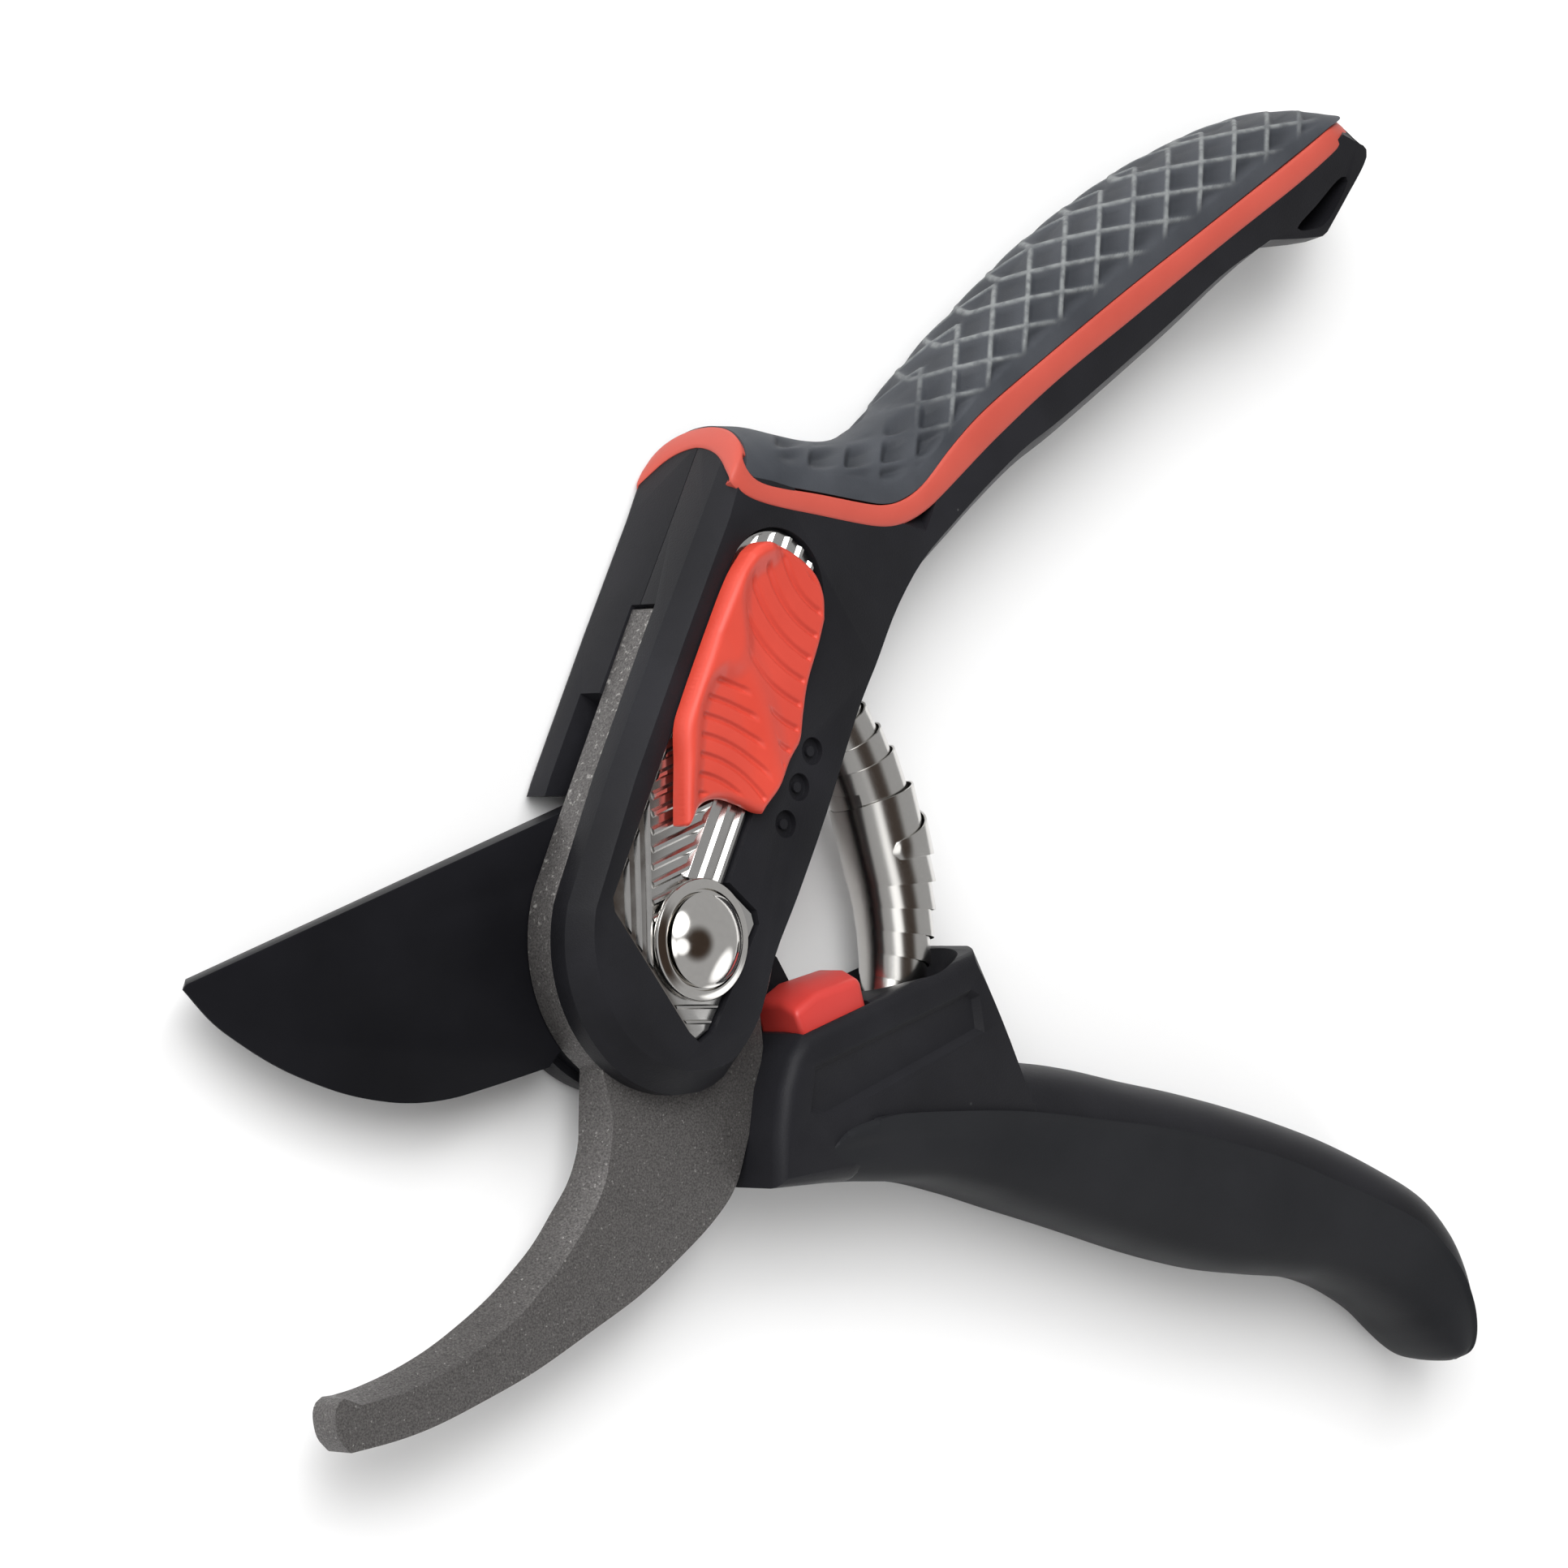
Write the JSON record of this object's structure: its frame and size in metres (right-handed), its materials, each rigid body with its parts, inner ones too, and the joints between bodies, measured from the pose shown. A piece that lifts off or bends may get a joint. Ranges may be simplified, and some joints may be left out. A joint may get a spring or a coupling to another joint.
{
  "type": "bypass_pruner",
  "caption": "Bypass pruner, 8 inch class: coated hook and blade, nylon handle housing with orange stripe and soft grip, sliding thumb lock, wound strip spring, red bumper; handles open.",
  "frame": {"origin": "on the axis of the pivot bolt, at the flat end face of the bolt on the back of the tool, which lies in the tool's back plane", "axes": "+X along the length of the open tool, from the jaws towards the end of the lower handle; +Y towards the upper handle, across the open jaws; +Z along the pivot bolt, from the back of the tool to its domed front"},
  "size_m": [0.1976, 0.1575, 0.02],
  "materials": {
    "nylon": "fine texture",
    "soft_grey": "soft, ribbed",
    "soft_black": "soft, smooth",
    "accent": "soft, smooth",
    "button": "satin",
    "bumper": "smooth",
    "coated_blade": "non-stick coating",
    "coated_hook": "coarse sand texture",
    "chrome": "polished",
    "steel": "brushed",
    "zinc": "zinc plated",
    "bronze": "sintered"
  },
  "bodies": {
    "upper_handle": {"counter_blade": "coated_hook", "guide_plate": "chrome", "detent_spring": "steel", "upper_shell_front": "nylon", "upper_shell_rear": "nylon", "upper_grip_stripe": "accent", "upper_grip_pad": "soft_grey", "shell_screw_1": "zinc", "shell_screw_2": "zinc", "shell_screw_3": "zinc", "pivot_bolt": "chrome", "pivot_washer_front": "chrome", "pivot_bushing": "bronze", "pivot_washer_rear": "zinc", "pivot_nut": "zinc", "volute_spring": "steel"},
    "slider": {"slider_button": "button", "lock_tongue": "zinc", "slider_rivet": "zinc"},
    "lower_handle": {"cutting_blade": "coated_blade", "lower_handle_frame": "nylon", "lower_grip_cover": "soft_black", "closing_bumper": "bumper", "tang_rivet_1": "zinc", "tang_rivet_2": "zinc"}
  },
  "joints": [
    {"name": "main_pivot", "type": "hinge", "parent": "upper_handle", "child": "lower_handle", "pos_m": [0, 0, 0], "axis": [0, 0, 1], "range_deg": [0, 43.5], "stiffness_Nm_per_rad": 1.1, "springref_deg": -15.47, "deforming": ["volute_spring"]},
    {"name": "slider_slide", "type": "slide", "parent": "upper_handle", "child": "slider", "axis": [-0.4226, -0.9063, 0], "range_m": [0, 0.0084]}
  ]
}
